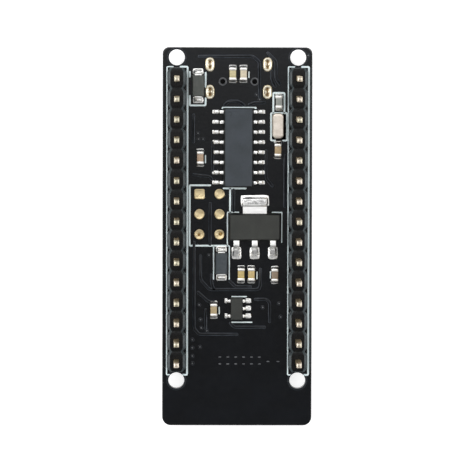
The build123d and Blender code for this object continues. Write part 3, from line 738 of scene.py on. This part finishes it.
FINISHES = [
    ("circuit_board", mask, 0),
    ("usb_slot_plating programming_pads", pad_gold, 0.02),
    ("header_strip_left header_strip_right", nylon, 0),
    ("header_pins_left header_pins_right", pin_gold, 0.05),
    ("serial_chip_body", blue_package, 0.07),
    ("regulator_body", grey_package, 0.07),
    ("small_regulator_body", grey_package, 0.05),
    ("microcontroller_body radio_chip_body", blue_package, 0.04),
    ("supply_diode_body", diode_grey, 0.06),
    ("power_diode_body", blue_diode, 0.06),
    ("serial_chip_leads small_regulator_leads", tin, 0.04),
    ("regulator_leads", tin, 0.06),
    ("regulator_tab", smooth_tin, 0.06),
    ("supply_diode_terminals power_diode_terminals", tin, 0.04),
    ("microcontroller_terminals radio_chip_terminals button_terminals", tin, 0),
    ("capacitor_terminals component_capacitor_terminals component_resistor_terminals", cap_end, 0.07),
    ("matching_part_terminals resonator_terminals indicator_terminals", cap_end, 0.04),
    ("serial_resistor_terminals", cap_end, 0.05),
    ("serial_resistor_body component_resistor_bodies", resistor_grey, 0.03),
    ("serial_crystal_base radio_crystal_base", crystal_ceramic, 0.03),
    ("serial_crystal_lid", lid_metal, 0.08),
    ("radio_crystal_lid", silver_lid, 0.08),
    ("usb_shell", steel, 0.05),
    ("usb_insulator button_housing", insulator, 0.05),
    ("usb_contacts", pad_gold, 0.02),
    ("button_cover button_dome", steel, 0.04),
    ("button_plunger", button_white, 0.05),
    ("indicator_bases", white_base, 0.02),
    ("indicator_lenses", lens, 0.08),
    ("antenna_trace", masked_copper, 0.02),
    ("header_solder_left header_solder_right", solder, 0),
]

for names, finish, rounding in FINISHES:
    for node in names.split():
        dress(node, finish, rounding)

for node, tone in CAPACITOR_TONES.items():
    dress(node, make_ceramic(node, shaded(tone, 0.93), shaded(tone, 1.07)), 0.03)


# Header strips

# Half of a cell, from its middle to its neighbour: how far along, half width and height where the side ends,
# half width and height of the top
CELL_STATIONS = [
    (0.76, 1.2, 2.22, 0.8, 2.5),
    (1.17, 0.88, 2.3, 0.62, 2.5),
    (1.27, 0.8, 2.3, 0.56, 2.462),
]
CELL_ROUNDING = 0.045
CELL_EDGE_ANGLE = 14.0


def header_strip(node, pins):
    """Moulded cells end to end, each with a sloping edge all round and a groove where it meets the next."""
    low, high = node_box(node)
    x = (low.x + high.x) / 2
    cell = [(-along, *rest) for along, *rest in reversed(CELL_STATIONS)] + CELL_STATIONS[:-1]
    stations = [(middle(pin).y + along, *rest) for pin in solid_boxes(pins) for along, *rest in cell]
    stations.append((high.y, *CELL_STATIONS[-1][1:]))
    points = []
    for y, half, shoulder, top_half, top in stations:
        right = [(half, 0), (half, shoulder), (top_half, top)]
        section = [(-across, z) for across, z in right] + right[::-1]
        points += [(x + across, y, PIN_FACE + z) for across, z in section]
    count = len(section)
    faces = [tuple(range(count))]
    for station in range(len(stations) - 1):
        faces += band(station * count, (station + 1) * count, count)
    faces.append(last_lid(points, count))
    name = node.replace("header_strip", "header_cells")
    strip = build_piece(name, [(points, faces)], nylon)
    soften(strip, CELL_ROUNDING, CELL_EDGE_ANGLE)
    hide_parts(node)


for hand in ("left", "right"):
    header_strip(f"header_strip_{hand}", f"header_pins_{hand}")


# Printed lines on the pin side

PRINT_WIDTH = 0.22
THIN_PRINT_WIDTH = 0.15
PRINT_HEIGHT = 0.02
PRINT_CORNER = 0.14

# The frame round a header strip: width, offset to the right, half openings at the corner holes, and
# how far it runs past the strip's ends
STRIP_FRAME = 2.58
FRAME_SHIFT = 0.06
TOP_OPENING, LOW_OPENING = 0.47, 0.85
PAST_TOP, PAST_LOW = 0.1, 0.57


def header_frame(node):
    """The right and the left half of the printed frame round one strip."""
    low, high = node_box(node)
    x = (low.x + high.x) / 2
    top, bottom = high.y + PAST_TOP, low.y - PAST_LOW
    halves = []
    for side in (1, -1):
        edge = x + side * STRIP_FRAME / 2 + FRAME_SHIFT
        ends = x + side * TOP_OPENING, x + side * LOW_OPENING
        halves.append([(ends[0], top), (edge, top), (edge, bottom), (ends[1], bottom)])
    return halves


PIN_SIDE_PRINT = [
    # serial chip
    [(-1.73, 3.88), (1.07, 3.88)],
    [(-0.9, 3.88), (-0.9, 0.88)],
    # programming pads
    [(-3.84, 4.26), (-5.97, 4.26), (-5.97, -3.34), (-1.1, -3.34)],
    [(-3.76, 4.26), (-3.4, 4.26)],
    # supply diode
    [(-5.98, 18.5), (-5.98, 17.9)],
    [(-5.98, 15.5), (-5.98, 14.3), (-4, 14.3), (-4, 15.2)],
    [(-4, 18.4), (-4, 16.6)],
    # serial resistor and crystal
    [(4.5, 13.43), (4.5, 15.89), (5.9, 15.89), (5.9, 13.43)],
    [(4.75, 9.9), (4.23, 9.9), (4.23, 13.36), (6.22, 13.36), (6.22, 9.9), (5.75, 9.9)],
]

THIN_PRINT = [
    # serial chip
    [(-1.85, 14.05), (2.25, 14.05)],
    # regulator
    [(0.2, 0.88), (-1.23, 0.88), (-1.23, -3.35)],
    [(4.4, 0.87), (5.62, 0.87), (5.6, -2.9)],
    # power diode
    [(-2.96, -3.4), (-2.96, -7.55)],
    [(-0.98, -3.4), (-0.98, -7.55)],
    # capacitor ticks
    [(1.43, 18.5), (1.43, 17.8)],
    [(-4, 8), (-4, 7.1)],
    [(2.5, -6.64), (2.5, -7.5)],
    [(4.2, -6.6), (4.2, -7.4)],
    [(-2.23, -11.1), (-2.23, -11.93)],
    # small regulator
    [(-0.65, -9.75), (1.18, -9.75)],
    [(-0.65, -12.98), (1.86, -12.98)],
]

for hand in ("left", "right"):
    right_half, left_half = header_frame(f"header_strip_{hand}")
    PIN_SIDE_PRINT.append(right_half)
    THIN_PRINT.append(left_half)

marks = []
for width, lines in ((PRINT_WIDTH, PIN_SIDE_PRINT), (THIN_PRINT_WIDTH, THIN_PRINT)):
    marks += [placed(ribbon(line, width, PRINT_HEIGHT, corner=PRINT_CORNER)) for line in lines]
# the blunt ends of the line over the serial chip
marks += [placed(mound(0.14, 0.14, PRINT_HEIGHT, lump=0.0), x, 13.97) for x in (-1.86, 2.28)]
build_piece("printed_lines_pin_side", marks, printed_line, smooth=False)


# Copper lines and vias that show through the mask

TRACE_WIDTH = 0.44
TRACE_HEIGHT = 0.05
TRACE_SLOPE = 0.09

PIN_SIDE_TRACES = [
    [(-4.8, 20.45), (1.9, 20.48), (2.75, 19.8), (2.78, 15.3)],
    [(3.8, 20.9), (4.83, 19.85), (4.83, 17.7), (5.3, 17)],
    [(4.3, 18.6), (4.32, 17.5), (4.75, 16.7)],
    [(-1.6, 14.35), (-1.1, 14.85), (0.1, 14.85), (0.8, 14.35)],
    [(1.5, 14.4), (2.1, 14.65), (3.4, 14.65)],
    [(-5.53, 13.1), (-5.53, 9.7)],
    [(-3.1, 9.7), (-3.1, 6.1)],
    [(-5.5, 5.6), (-3.5, 5.4), (-3.2, 5)],
    [(-3.41, 2), (-3.41, -3.2)],
    [(-0.45, 3.7), (-0.45, 1)],
    [(-5.43, -2.9), (-5.43, -13.7), (-4.8, -14.5), (0, -14.5)],
    [(-4.6, -4.6), (-4.6, -7.6), (-3.5, -8.86), (2.6, -8.86), (2.93, -8.5), (2.93, -6.3)],
    [(-3.2, -7), (-3.2, -8.2), (-2.9, -8.86)],
    [(-4.9, -9.2), (-3.6, -10.4), (-2.9, -10.4)],
    [(-3.95, -11.4), (-3.95, -13.8)],
    [(-0.9, -7.8), (-0.2, -8.5), (1.7, -8.5)],
    [(2.3, -10.1), (3.7, -10.05), (4.12, -10.5), (4.12, -12.9)],
    [(-0.83, -13.1), (-0.37, -13.6), (3.5, -13.6)],
    [(3.6, 8.6), (3.6, 5.2), (4.4, 4.2)],
    [(6, 8), (6, 1.6)],
]

VIAS = [
    (2.4, 15.64), (2.79, 15.04), (8.86, 20.6), (-4.87, 10.07), (-4.94, 10.8), (-4.3, 10.07), (-3.53, -4.54),
    (-4.76, -10.79), (-4.6, -12.66), (-4.5, -13.7), (-3.8, -14.07), (-5.62, -15.2), (-5.62, -16.2),
    (-5.62, -17.25), (-5.6, -18.17), (-4.66, -16.1), (3.25, -11.1), (5.3, -10.6), (5.5, -12.3),
]
RADIO_VIAS = [(-2.14 + 0.995 * step, y) for y in (-17.37, -18.24) for step in range(6)]
RADIO_VIAS += [(3.93, -17.92), (5.19, -17.92)]
VIA_PROFILE = [(0, -SUNK), (0.28, -SUNK), (0.26, 0), (0.2, 0.03), (0.13, 0.022), (0.08, 0), (0, -0.004)]


def traces_and_vias(lines, vias, face=1):
    """The parts of the copper that shows on one face."""
    parts = [placed(ribbon(line, TRACE_WIDTH, TRACE_HEIGHT, TRACE_SLOPE), face=face) for line in lines]
    return parts + [placed(lathe(VIA_PROFILE, spokes=16), x, y, face) for x, y in vias]


specks = [placed(mound(0.11, 0.1, 0.03, seed=seed), x, y) for seed, (x, y) in enumerate(VIAS)]
specks += [placed(mound(0.19, 0.08, 0.03, seed=seed), x, y) for seed, (x, y) in enumerate(RADIO_VIAS)]
build_piece("via_fillings", specks, bare_ring)
copper = traces_and_vias(PIN_SIDE_TRACES, VIAS)
build_piece("masked_copper_pin_side", copper, masked_copper)

COMPONENT_SIDE_TRACES = [
    [(-7.6, -2.6), (-6, -4.2), (-6, -7.6), (-3.2, -8.9), (-1.6, -8.9)],
    [(-7.6, 5), (-6.2, 3.6), (-6.2, -1), (-4.9, -2.3)],
    [(-7.6, 10.2), (-6.3, 8.9), (-6.3, 7.7), (-5.3, 7.7)],
    [(-7.6, -7.6), (-6.4, -8.8), (-6.4, -12.6), (-4.6, -13.2), (-1.9, -12.2)],
    [(-0.9, -0.9), (-1.9, -1.9), (-1.9, -4.2), (-1.9, -7.8)],
    [(0.6, -2.6), (0, -3.2), (0, -7.8)],
    [(1.6, -3.5), (1.1, -4), (1.1, -7.8)],
    [(5.4, -0.8), (6.2, -1.6), (6.2, -6.6), (7.6, -8)],
    [(5, 2.4), (6.3, 3.7), (6.3, 9), (7.6, 10.3)],
    [(2.2, 4.3), (2.2, 5.6), (3.2, 6.6), (3.2, 9.6), (3.9, 10.3)],
    [(-2.5, 2.2), (-2.5, 5), (-3.6, 6.2)],
    [(-1.3, 14.5), (-1.3, 15.3), (-0.7, 15.9)],
    [(1.3, 14.5), (1.3, 15.3), (0.7, 15.9)],
    [(-7.6, 12.7), (-6.2, 14.1), (-6.2, 16.4), (-5, 17.6)],
    [(7.6, 12.7), (6.3, 14), (6.3, 16.4), (5.2, 17.5)],
    [(0.6, -12.7), (0.6, -13.6)],
    [(0.6, -16.5), (0.6, -17.6), (-4.4, -17.6), (-5.2, -18.4), (-5.2, -19.3)],
    [(5.9, -13.8), (6.2, -14.6), (6.2, -17.4)],
]
UNDER_VIAS = [
    (-1.9, -4.2), (-6.2, 3.6), (6.2, -4), (3.2, 8.4), (-2.4, -9.9), (-2.4, -11.4), (2.9, -12.9),
    (5.6, -16), (-5, -14.6), (-3.2, -15.4), (3.6, -17.4), (-5.4, 2), (5.9, 6.4), (-3.4, 9.4),
    (3.6, 11.9), (-6.3, 11.5),
]
UNDER_VIAS += [(x, y) for x, y in RADIO_VIAS if x < -1.5 or x > 2.0]
copper = traces_and_vias(COMPONENT_SIDE_TRACES, UNDER_VIAS, -1)
build_piece("masked_copper_component_side", copper, masked_copper)


def corner_marks(node, gap, arm):
    """A printed corner at each corner of a square package."""
    low, high = node_box(node)
    lines = []
    for x, toward_x in ((low.x - gap, 1), (high.x + gap, -1)):
        for y, toward_y in ((low.y - gap, 1), (high.y + gap, -1)):
            lines.append([(x + toward_x * arm, y), (x, y), (x, y + toward_y * arm)])
    return lines


UNDER_PRINT_WIDTH = 0.16

COMPONENT_SIDE_PRINT = [
    *corner_marks("radio_chip_body", gap=0.3, arm=0.6),
    *corner_marks("radio_crystal_base", gap=0.25, arm=0.5),
    # microcontroller, turned by an eighth
    [(1.55, 4.5), (2.15, 5.1), (2.75, 4.5)],
    [(1.55, -3.3), (2.15, -3.9), (2.75, -3.3)],
    # reset button
    [(-1.9, 9.35), (1.9, 9.35)],
    [(-1.9, 5.85), (1.9, 5.85)],
    # resonator
    [(-5.45, 8.1), (-5.45, 4.3)],
    [(-3.55, 8.1), (-3.55, 4.3)],
    # receptacle
    [(-4.25, 14.6), (-4.25, 15)],
    [(4.55, 14.6), (4.55, 15)],
    *[[(x - 0.62, 14.3), (x + 0.62, 14.3)] for x in (-3.9, -1.3, 1.3, 3.9)],
]
marks = [placed(ribbon(line, UNDER_PRINT_WIDTH, PRINT_HEIGHT), face=-1) for line in COMPONENT_SIDE_PRINT]
# the dot beside the radio chip's first corner
marks.append(placed(mound(0.16, 0.16, PRINT_HEIGHT, lump=0.0), 3.1, -8.1, -1))
build_piece("printed_lines_component_side", marks, printed_line, smooth=False)


# Solder

# How steeply the fillets of chip parts fall
CHIP_FALL = 1.15
# How far a chip's fillet runs in under its terminal's inner end
CHIP_HEEL = 0.02


def pointed(away, toe, heel, side):
    """A fillet's reach with its toe on the side that away points to."""
    if abs(away.x) > abs(away.y):
        return (heel, toe, side, side) if away.x > 0 else (toe, heel, side, side)
    return (side, side, heel, toe) if away.y > 0 else (side, side, toe, heel)


def foot_fillets(node, toe, side, heel, height, square=7, left_toe=None):
    """A fillet round each foot: wide past the toe, narrow at its sides and short at the heel."""
    parts = []
    for seed, (low, high, whole) in enumerate(feet(node)):
        away = middle((low, high)) - whole
        reach = pointed(away, left_toe if left_toe and away.x < 0 else toe, heel, side)
        parts.append(skirt(low, high, reach, height, seed, square=square))
    return parts


def chip_fillets(node, toe, side, height, face=1):
    """A fillet at the outer end of each terminal, away from the terminal's partner."""
    boxes = solid_boxes(node)
    parts = []
    for seed, box in enumerate(boxes):
        here = middle(box)
        partner = min((middle(other) for other in boxes if other is not box), key=lambda p: (p - here).length)
        reach = pointed(here - partner, toe, CHIP_HEEL, side)
        parts.append(skirt(*box, reach, height, seed, face, fall=CHIP_FALL))
    return parts


# Thickness of the regulator's leads and tab, and of the film over them at its rim
REGULATOR_LEAD = 0.26
FILM_RIM = 0.1
# How far a film's rim lies inside the sides of its foot
FILM_INSET = 0.04


def foot_films(node, climb, lump, spill):
    """A film of solder over each foot, climbing at its heel and spilling over its two long edges."""
    parts = []
    for seed, (low, high, whole) in enumerate(feet(node)):
        foot = middle((low, high))
        half = (high - low) / 2
        heel = 1 if whole.y > foot.y else -1

        def level(x, y, share):
            rise = climb * max(0.0, (1 + heel * y / half.y) / 2) ** 1.5
            thick = 0.03 + rise + lump * lumpy((x, y), 0.4, seed + 0.4)
            film = REGULATOR_LEAD - SUNK + thick * (1 - share**8)
            past = max(0.0, abs(x) - half.x + FILM_INSET) / (spill + FILM_INSET)
            return film + (FILM_RIM - film) * min(1.0, past)

        film = pitted(half.x + spill, half.y - FILM_INSET, level, 12.0, seed)
        parts.append(placed(film, foot.x, foot.y))
    return parts


DIODE_FILLET = {"toe": 0.3, "side": 0.22, "heel": 0.3, "height": 0.26}

SOLDER_PIECES = [
    ("chip_lead_solder", solder, [
        foot_fillets("serial_chip_leads", toe=0.34, side=0.05, heel=0.12, height=0.13),
        foot_fillets("small_regulator_leads", toe=0.44, side=0.12, heel=0.04, height=0.1, left_toe=0.08),
    ]),
    ("power_part_solder", solder, [
        foot_fillets("regulator_leads", toe=0.6, side=0.26, heel=0.2, height=0.22, square=10),
        foot_fillets("regulator_tab", toe=0.5, side=0.32, heel=0.2, height=0.24, square=12),
        foot_fillets("supply_diode_terminals", **DIODE_FILLET),
        foot_fillets("power_diode_terminals", **DIODE_FILLET),
    ]),
    ("regulator_solder_films", dull_solder, [
        foot_films("regulator_leads", climb=0.16, lump=0.03, spill=0.06),
        foot_films("regulator_tab", climb=0.0, lump=0.03, spill=0.12),
    ]),
    ("chip_part_solder", solder, [
        chip_fillets("capacitor_terminals", toe=0.36, side=0.06, height=0.5),
        chip_fillets("serial_resistor_terminals", toe=0.3, side=0.06, height=0.3),
    ]),
    ("component_side_solder", solder, [
        chip_fillets("component_capacitor_terminals", toe=0.34, side=0.06, height=0.5, face=-1),
        chip_fillets("component_resistor_terminals", toe=0.3, side=0.06, height=0.3, face=-1),
        chip_fillets("matching_part_terminals", toe=0.2, side=0.04, height=0.28, face=-1),
        chip_fillets("indicator_terminals", toe=0.3, side=0.05, height=0.16, face=-1),
    ]),
]
for name, metal, groups in SOLDER_PIECES:
    build_piece(name, [part for group in groups for part in group], metal)

# A header joint's outline, in shares of its radius and of its height
JOINT_PROFILE = [(0.78, 0.28), (0.6, 0.6), (0.5, 0.9), (0.42, 1), (0, 1)]

joints = []
for node in ("header_solder_left", "header_solder_right"):
    for seed, here, half in seats(node):
        radius, height = half.y, 2 * half.z
        profile = [(0, -SUNK), (radius, -SUNK), (radius * 0.98, 0.05)]
        profile += [(radius * wide, high * height) for wide, high in JOINT_PROFILE]
        joints.append(placed(lathe(profile, wobble=0.05, seed=seed), here.x, here.y, -1))
header_joints = build_piece("header_joints", joints, solder)
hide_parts("header_solder_left", "header_solder_right")


def pad_level(x, y, share, pit=None):
    """A flat filling with a raised lumpy rim and, where it has one, a pit of the given place and width."""
    rim = math.exp(-(((share - 0.82) / 0.12) ** 2))
    level = 0.06 + 0.035 * rim + 0.012 * lumpy((x, y), 0.3, 2) - 0.05 * max(0, share - 0.93) / 0.07
    if pit:
        pit_x, pit_y, width = pit
        level -= 0.4 * math.exp(-(((x - pit_x) ** 2 + (y - pit_y) ** 2) / width**2))
    return level


# The numbers of the pads, from the antenna end: the two that keep a small pit in their solder, with the
# pit's place and width, and the square one
PAD_PITS = {0: (-0.05, -0.04, 0.1), 1: (0.14, 0.06, 0.13)}
SQUARE_PAD = 4
PAD_HALF = 0.67

plugs = []
for seed, here, _ in seats("programming_pads"):
    square = 9.0 if seed == SQUARE_PAD else 2.0
    pit = PAD_PITS.get(seed)
    top = pitted(PAD_HALF, PAD_HALF, lambda *spot: pad_level(*spot, pit), square, seed, rings=20)
    plugs.append(placed(top, here.x, here.y))
    plugs.append(placed(pitted(PAD_HALF, PAD_HALF, pad_level, square, seed), here.x, here.y, -1))
programming_solder = build_piece("programming_solder", plugs, pad_gold)
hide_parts("programming_pads")


# The snap disc under the plunger

DISC_THICKNESS = 0.08

low, high = node_box("button_dome")
radius, rise = (high.x - low.x) / 2, high.z - low.z
profile = [(0, -DISC_THICKNESS), (radius - DISC_THICKNESS, -rise), (radius, -rise), (0, 0)]
centre = middle((low, high))
rim_to_crown = COMPONENT_FACE - low.z
disc = placed(lathe([(r, z + rim_to_crown) for r, z in profile], spokes=40), centre.x, centre.y, -1)
snap_disc = build_piece("button_snap_disc", [disc], steel, smooth=False)
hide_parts("button_dome")
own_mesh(snap_disc)


def slot_level(x, y, share):
    """A rounded rim round two dimples that a narrow channel joins."""
    rim = math.exp(-(((share - 0.8) / 0.14) ** 2))
    dimples = [math.exp(-((x / 0.17) ** 2 + ((y - side * 0.33) / 0.2) ** 2)) for side in (-1, 1)]
    channel = math.exp(-((x / 0.08) ** 2 + (y / 0.3) ** 2))
    return 0.05 + 0.07 * rim - 0.22 * max(*dimples, 0.7 * channel) - 0.07 * max(0, share - 0.9) / 0.1


slot_rings = []
for seed, here, half in seats("usb_slot_plating"):
    slot_rings.append(placed(pitted(half.x, half.y, slot_level, 2.6, seed, rings=20), here.x, here.y))
build_piece("slot_solder", slot_rings, slot_solder)

PEG_PLACES = [(-1.85, 17.3), (2.15, 17.3)]
HOLE_PLACES = [(x, y) for x in (-7.62, 7.62) for y in (-20.32, 20.32)]
collars = [placed(collar(0.33, 0.54, 0.035), x, y) for x, y in PEG_PLACES]
build_piece("peg_hole_rings", collars, bare_ring)
collars = [placed(collar(1.03, 1.25, 0.02), x, y, face) for x, y in HOLE_PLACES for face in (1, -1)]
build_piece("corner_hole_rings", collars, masked_copper)


# Floor, light and camera

FLOOR_HALF = 4000.0
FLOOR_COLOUR = (0.86, 0.86, 0.86, 1)
# What the camera, and mirrors, see of the floor on top of the light that falls on it
FLOOR_GLOW = 0.58
# How bright the sky is overhead, at the left and right, and before and behind
SKY_TOP = 0.42
SKY_SIDES = 1.3
SKY_ENDS = 0.2
# From where to where the sky turns from its horizon to its top, as the height of a direction
SKY_TURN = (0.1, 0.9)
CLIP_METRES = (0.05, 20.0)


def make_floor():
    """A white floor that stays white in the picture and keeps the board's shadow."""
    material = bpy.data.materials.new("floor")
    material.use_nodes = True
    material.node_tree.nodes.clear()
    tree = Nodes(material.node_tree)
    rays = tree.node("LightPath").outputs
    seen = tree.math("MAXIMUM", rays["Is Camera Ray"], rays["Is Glossy Ray"])
    seen = tree.math("MAXIMUM", seen, rays["Is Transmission Ray"])
    glow = tree.node("Emission")
    tree.link(tree.math("MULTIPLY", seen, FLOOR_GLOW), glow.inputs["Strength"])
    diffuse = tree.node("BsdfDiffuse", Color=FLOOR_COLOUR)
    both = tree.combined("AddShader", [diffuse.outputs[0], glow.outputs[0]])
    tree.link(both[0], tree.node("OutputMaterial").inputs["Surface"])
    corners = [(x * FLOOR_HALF, y * FLOOR_HALF, FLOOR) for x, y in ((-1, -1), (1, -1), (1, 1), (-1, 1))]
    floor = new_mesh("floor", corners, [(0, 1, 2, 3)], material)


def make_world():
    """A soft sky: pale at the left and right, darker elsewhere, and white where the camera sees it."""
    world = bpy.data.worlds.new("studio")
    world.use_nodes = True
    bpy.context.scene.world = world
    tree = Nodes(world.node_tree)
    place = tree.split(tree.node("TexCoord").outputs["Generated"])
    horizon = tree.ramp(tree.math("ABSOLUTE", place["X"]), 0.0, 1.0, SKY_ENDS, SKY_SIDES)
    sky = tree.ramp(place["Z"], *SKY_TURN, horizon, SKY_TOP)
    seen = tree.math("MAXIMUM", sky, tree.node("LightPath").outputs["Is Camera Ray"])
    background = world.node_tree.nodes["Background"]
    background.inputs["Color"].default_value = (1, 1, 1, 1)
    tree.link(seen, background.inputs["Strength"])


def make_softbox(name, place, size, radiance, turned=True):
    """A flat lamp of the given radiance that faces the board, or faces straight down."""
    lamp = bpy.data.lights.new(name, "AREA")
    lamp.shape = "RECTANGLE"
    lamp.size, lamp.size_y = (side * MM for side in size)
    lamp.energy = radiance * math.pi * lamp.size * lamp.size_y
    box = show(name, lamp)
    box.location = Vector(place) * MM
    box.rotation_mode = "QUATERNION"
    if turned:
        box.rotation_quaternion = (-box.location).to_track_quat("-Z", "Y")


def make_camera():
    camera = bpy.data.cameras.new("camera")
    camera.sensor_width = SENSOR
    place = Vector(CAMERA_PLACE) * MM
    gaze = Vector(CAMERA_TARGET) * MM - place
    camera.lens = SENSOR * gaze.length / (FRAME_WIDTH * MM)
    camera.clip_start, camera.clip_end = CLIP_METRES
    eye = show("camera", camera)
    eye.location = place
    back = -gaze.normalized()
    right = Vector((0, 1, 0)).cross(back).normalized()
    facing = Matrix((right, back.cross(right), back)).transposed().to_4x4()
    eye.rotation_mode = "QUATERNION"
    eye.rotation_quaternion = (facing @ Matrix.Rotation(math.radians(CAMERA_ROLL), 4, "Z")).to_quaternion()
    bpy.context.scene.camera = eye


make_floor()
make_world()
make_softbox("key_light", (-260, 200, 420), (300, 300), 1.6)
make_softbox("fill_light", (320, -160, 400), (260, 260), 1.1)
make_softbox("left_light", (-560, 0, 250), (220, 190), 8.0)
make_softbox("right_light", (560, 0, 250), (220, 190), 6.0)
make_softbox("overhead_light", (-20, 222, 600), (460, 440), 1.6, turned=False)
make_camera()
bpy.context.scene.view_settings.view_transform = "Standard"
